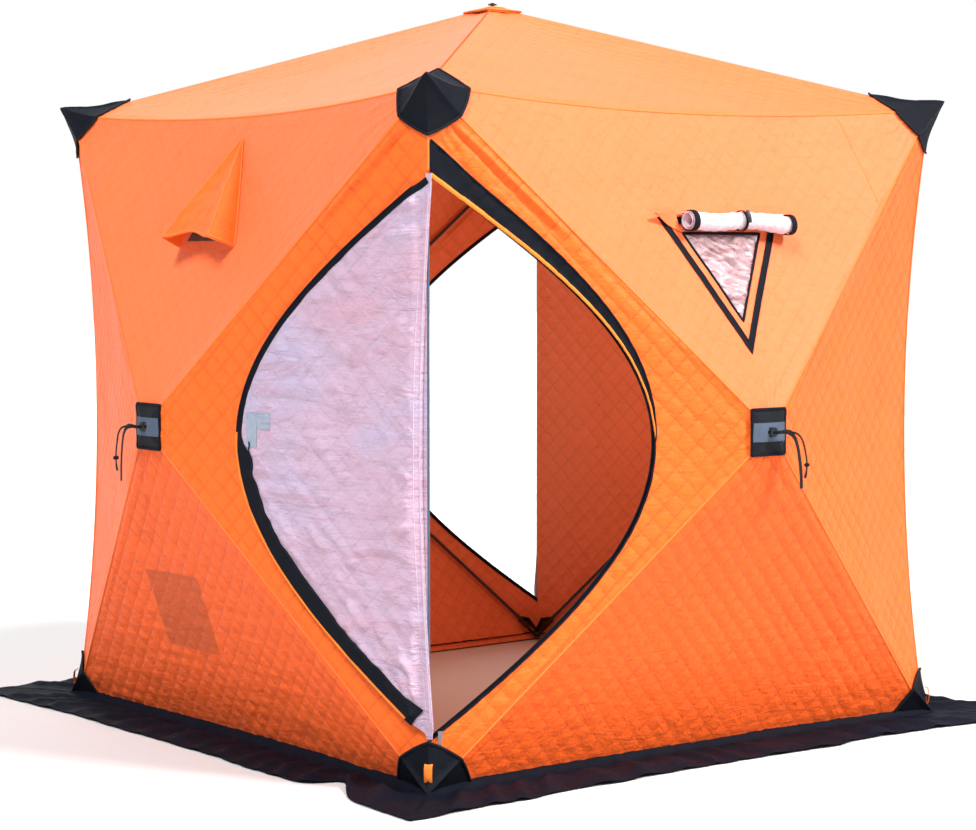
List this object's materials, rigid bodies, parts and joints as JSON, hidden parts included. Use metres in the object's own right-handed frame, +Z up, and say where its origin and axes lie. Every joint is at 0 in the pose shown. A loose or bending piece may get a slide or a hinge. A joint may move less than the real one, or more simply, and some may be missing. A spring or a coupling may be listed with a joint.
{
  "type": "ice fishing shelter",
  "caption": "Pop-up hub ice fishing shelter of quilted fabric, with a folding pole frame, corner half doors, windows, vents and a ground skirt.",
  "frame": {"origin": "on the ground under the middle of the roof, centre of the base", "axes": "+Z up; the front wall faces -Y, and the front door is at the (-X, -Y) corner"},
  "size_m": [2.4398, 2.4398, 2.081],
  "materials": {
    "shell_fabric": "quilted, coated polyester, slight sheen",
    "skirt_fabric": "coated oxford cloth, matte",
    "cap_fabric": "heavy coated cloth, soft sheen",
    "moulded_plastic": "moulded nylon, fine grain",
    "orange_webbing": "woven webbing",
    "clear_film": "clear film, crumpled",
    "black_band": "woven hook-and-loop band",
    "lining_fabric": "smooth quilted lining, pale lilac",
    "pocket_mesh": "fine net",
    "zip_tape": "woven zip tape",
    "zip_metal": "die-cast, satin",
    "pin_steel": "turned steel",
    "patch_webbing": "stitched webbing patch with a grey-blue band",
    "strap_webbing": "woven webbing",
    "pole_fibreglass": "pultruded fibreglass with aluminium ferrules"
  },
  "bodies": {
    "shell": {"roof_panel": "shell_fabric", "wall_front": "shell_fabric", "wall_right": "shell_fabric", "wall_back": "shell_fabric", "wall_left": "shell_fabric", "ground_skirt": "skirt_fabric", "corner_caps": "cap_fabric", "corner_sockets": "moulded_plastic", "corner_tabs": "orange_webbing", "window_panes": "clear_film", "window_bands": "black_band", "window_covers": "lining_fabric", "vent_hoods": "shell_fabric", "storage_pockets": "pocket_mesh", "storm_flaps": "cap_fabric", "zip_tracks": "zip_tape", "zip_sliders": "zip_metal"},
    "front_hub": {"hub_front": "moulded_plastic", "pins_front": "pin_steel", "patch_front": "patch_webbing", "strap_front": "strap_webbing"},
    "front_pole_1": {"pole_front_1": "pole_fibreglass"},
    "front_pole_2": {"pole_front_2": "pole_fibreglass"},
    "front_pole_3": {"pole_front_3": "pole_fibreglass"},
    "front_pole_4": {"pole_front_4": "pole_fibreglass"},
    "right_hub": {"hub_right": "moulded_plastic", "pins_right": "pin_steel", "patch_right": "patch_webbing", "strap_right": "strap_webbing"},
    "right_pole_1": {"pole_right_1": "pole_fibreglass"},
    "right_pole_2": {"pole_right_2": "pole_fibreglass"},
    "right_pole_3": {"pole_right_3": "pole_fibreglass"},
    "right_pole_4": {"pole_right_4": "pole_fibreglass"},
    "back_hub": {"hub_back": "moulded_plastic", "pins_back": "pin_steel", "patch_back": "patch_webbing", "strap_back": "strap_webbing"},
    "back_pole_1": {"pole_back_1": "pole_fibreglass"},
    "back_pole_2": {"pole_back_2": "pole_fibreglass"},
    "back_pole_3": {"pole_back_3": "pole_fibreglass"},
    "back_pole_4": {"pole_back_4": "pole_fibreglass"},
    "left_hub": {"hub_left": "moulded_plastic", "pins_left": "pin_steel", "patch_left": "patch_webbing", "strap_left": "strap_webbing"},
    "left_pole_1": {"pole_left_1": "pole_fibreglass"},
    "left_pole_2": {"pole_left_2": "pole_fibreglass"},
    "left_pole_3": {"pole_left_3": "pole_fibreglass"},
    "left_pole_4": {"pole_left_4": "pole_fibreglass"},
    "roof_hub": {"hub_roof": "moulded_plastic", "pins_roof": "pin_steel", "patch_roof": "shell_fabric"},
    "roof_pole_1": {"pole_roof_1": "pole_fibreglass"},
    "roof_pole_2": {"pole_roof_2": "pole_fibreglass"},
    "roof_pole_3": {"pole_roof_3": "pole_fibreglass"},
    "roof_pole_4": {"pole_roof_4": "pole_fibreglass"},
    "front_door": {"door_flap_front": "lining_fabric", "door_tape_front": "zip_tape"},
    "back_door": {"door_flap_back": "lining_fabric", "door_tape_back": "zip_tape"}
  },
  "joints": [
    {"name": "front_hub_slide", "type": "slide", "parent": "shell", "child": "front_hub", "axis": [0, -1, 0], "range_m": [-0.534, 0], "deforming": ["wall_front"]},
    {"name": "front_pole_1_pivot", "type": "hinge", "parent": "front_hub", "child": "front_pole_1", "pos_m": [-0.02434, -1.149, 0.90574], "axis": [0.6981, 0, 0.716], "range_deg": [0, 25.15]},
    {"name": "front_pole_2_pivot", "type": "hinge", "parent": "front_hub", "child": "front_pole_2", "pos_m": [0.02434, -1.149, 0.90574], "axis": [0.6981, 0, -0.716], "range_deg": [0, 25.15]},
    {"name": "front_pole_3_pivot", "type": "hinge", "parent": "front_hub", "child": "front_pole_3", "pos_m": [0.02434, -1.149, 0.85826], "axis": [-0.6981, 0, -0.716], "range_deg": [0, 25.15]},
    {"name": "front_pole_4_pivot", "type": "hinge", "parent": "front_hub", "child": "front_pole_4", "pos_m": [-0.02434, -1.149, 0.85826], "axis": [-0.6981, 0, 0.716], "range_deg": [0, 25.15]},
    {"name": "right_hub_slide", "type": "slide", "parent": "shell", "child": "right_hub", "axis": [1, 0, 0], "range_m": [-0.534, 0], "deforming": ["wall_right"]},
    {"name": "right_pole_1_pivot", "type": "hinge", "parent": "right_hub", "child": "right_pole_1", "pos_m": [1.149, 0.02434, 0.90574], "axis": [0, 0.6981, -0.716], "range_deg": [0, 25.15]},
    {"name": "right_pole_2_pivot", "type": "hinge", "parent": "right_hub", "child": "right_pole_2", "pos_m": [1.149, -0.02434, 0.90574], "axis": [0, 0.6981, 0.716], "range_deg": [0, 25.15]},
    {"name": "right_pole_3_pivot", "type": "hinge", "parent": "right_hub", "child": "right_pole_3", "pos_m": [1.149, -0.02434, 0.85826], "axis": [0, -0.6981, 0.716], "range_deg": [0, 25.15]},
    {"name": "right_pole_4_pivot", "type": "hinge", "parent": "right_hub", "child": "right_pole_4", "pos_m": [1.149, 0.02434, 0.85826], "axis": [0, -0.6981, -0.716], "range_deg": [0, 25.15]},
    {"name": "back_hub_slide", "type": "slide", "parent": "shell", "child": "back_hub", "axis": [0, 1, 0], "range_m": [-0.534, 0], "deforming": ["wall_back"]},
    {"name": "back_pole_1_pivot", "type": "hinge", "parent": "back_hub", "child": "back_pole_1", "pos_m": [0.02434, 1.149, 0.90574], "axis": [-0.6981, 0, 0.716], "range_deg": [0, 25.15]},
    {"name": "back_pole_2_pivot", "type": "hinge", "parent": "back_hub", "child": "back_pole_2", "pos_m": [-0.02434, 1.149, 0.90574], "axis": [-0.6981, 0, -0.716], "range_deg": [0, 25.15]},
    {"name": "back_pole_3_pivot", "type": "hinge", "parent": "back_hub", "child": "back_pole_3", "pos_m": [-0.02434, 1.149, 0.85826], "axis": [0.6981, 0, -0.716], "range_deg": [0, 25.15]},
    {"name": "back_pole_4_pivot", "type": "hinge", "parent": "back_hub", "child": "back_pole_4", "pos_m": [0.02434, 1.149, 0.85826], "axis": [0.6981, 0, 0.716], "range_deg": [0, 25.15]},
    {"name": "left_hub_slide", "type": "slide", "parent": "shell", "child": "left_hub", "axis": [-1, 0, 0], "range_m": [-0.534, 0], "deforming": ["wall_left"]},
    {"name": "left_pole_1_pivot", "type": "hinge", "parent": "left_hub", "child": "left_pole_1", "pos_m": [-1.149, -0.02434, 0.90574], "axis": [0, -0.6981, -0.716], "range_deg": [0, 25.15]},
    {"name": "left_pole_2_pivot", "type": "hinge", "parent": "left_hub", "child": "left_pole_2", "pos_m": [-1.149, 0.02434, 0.90574], "axis": [0, -0.6981, 0.716], "range_deg": [0, 25.15]},
    {"name": "left_pole_3_pivot", "type": "hinge", "parent": "left_hub", "child": "left_pole_3", "pos_m": [-1.149, 0.02434, 0.85826], "axis": [0, 0.6981, 0.716], "range_deg": [0, 25.15]},
    {"name": "left_pole_4_pivot", "type": "hinge", "parent": "left_hub", "child": "left_pole_4", "pos_m": [-1.149, -0.02434, 0.85826], "axis": [0, 0.6981, -0.716], "range_deg": [0, 25.15]},
    {"name": "roof_hub_slide", "type": "slide", "parent": "shell", "child": "roof_hub", "axis": [0, 0, 1], "range_m": [-0.584, 0], "deforming": ["roof_panel"]},
    {"name": "roof_pole_1_pivot", "type": "hinge", "parent": "roof_hub", "child": "roof_pole_1", "pos_m": [-0.02404, 0.02404, 2.034], "axis": [0.7071, 0.7071, 0], "range_deg": [0, 27.08]},
    {"name": "roof_pole_2_pivot", "type": "hinge", "parent": "roof_hub", "child": "roof_pole_2", "pos_m": [0.02404, 0.02404, 2.034], "axis": [0.7071, -0.7071, 0], "range_deg": [0, 27.08]},
    {"name": "roof_pole_3_pivot", "type": "hinge", "parent": "roof_hub", "child": "roof_pole_3", "pos_m": [0.02404, -0.02404, 2.034], "axis": [-0.7071, -0.7071, 0], "range_deg": [0, 27.08]},
    {"name": "roof_pole_4_pivot", "type": "hinge", "parent": "roof_hub", "child": "roof_pole_4", "pos_m": [-0.02404, -0.02404, 2.034], "axis": [-0.7071, 0.7071, 0], "range_deg": [0, 27.08]},
    {"name": "front_door_hinge", "type": "hinge", "parent": "shell", "child": "front_door", "pos_m": [-0.90558, -0.90558, 0.86], "axis": [0, 0, 1], "range_deg": [0, 234.86]},
    {"name": "back_door_hinge", "type": "hinge", "parent": "shell", "child": "back_door", "pos_m": [0.90558, 0.90558, 0.86], "axis": [0, 0, 1], "range_deg": [0, 234.86]}
  ],
  "couplings": [
    {"joint": "front_pole_1_pivot", "follows": "front_hub_slide", "rad_per_m": -0.82138},
    {"joint": "front_pole_2_pivot", "follows": "front_hub_slide", "rad_per_m": -0.82138},
    {"joint": "front_pole_3_pivot", "follows": "front_hub_slide", "rad_per_m": -0.82138},
    {"joint": "front_pole_4_pivot", "follows": "front_hub_slide", "rad_per_m": -0.82138},
    {"joint": "right_pole_1_pivot", "follows": "right_hub_slide", "rad_per_m": -0.82138},
    {"joint": "right_pole_2_pivot", "follows": "right_hub_slide", "rad_per_m": -0.82138},
    {"joint": "right_pole_3_pivot", "follows": "right_hub_slide", "rad_per_m": -0.82138},
    {"joint": "right_pole_4_pivot", "follows": "right_hub_slide", "rad_per_m": -0.82138},
    {"joint": "back_pole_1_pivot", "follows": "back_hub_slide", "rad_per_m": -0.82138},
    {"joint": "back_pole_2_pivot", "follows": "back_hub_slide", "rad_per_m": -0.82138},
    {"joint": "back_pole_3_pivot", "follows": "back_hub_slide", "rad_per_m": -0.82138},
    {"joint": "back_pole_4_pivot", "follows": "back_hub_slide", "rad_per_m": -0.82138},
    {"joint": "left_pole_1_pivot", "follows": "left_hub_slide", "rad_per_m": -0.82138},
    {"joint": "left_pole_2_pivot", "follows": "left_hub_slide", "rad_per_m": -0.82138},
    {"joint": "left_pole_3_pivot", "follows": "left_hub_slide", "rad_per_m": -0.82138},
    {"joint": "left_pole_4_pivot", "follows": "left_hub_slide", "rad_per_m": -0.82138},
    {"joint": "roof_pole_1_pivot", "follows": "roof_hub_slide", "rad_per_m": -0.80879},
    {"joint": "roof_pole_2_pivot", "follows": "roof_hub_slide", "rad_per_m": -0.80879},
    {"joint": "roof_pole_3_pivot", "follows": "roof_hub_slide", "rad_per_m": -0.80879},
    {"joint": "roof_pole_4_pivot", "follows": "roof_hub_slide", "rad_per_m": -0.80879}
  ]
}
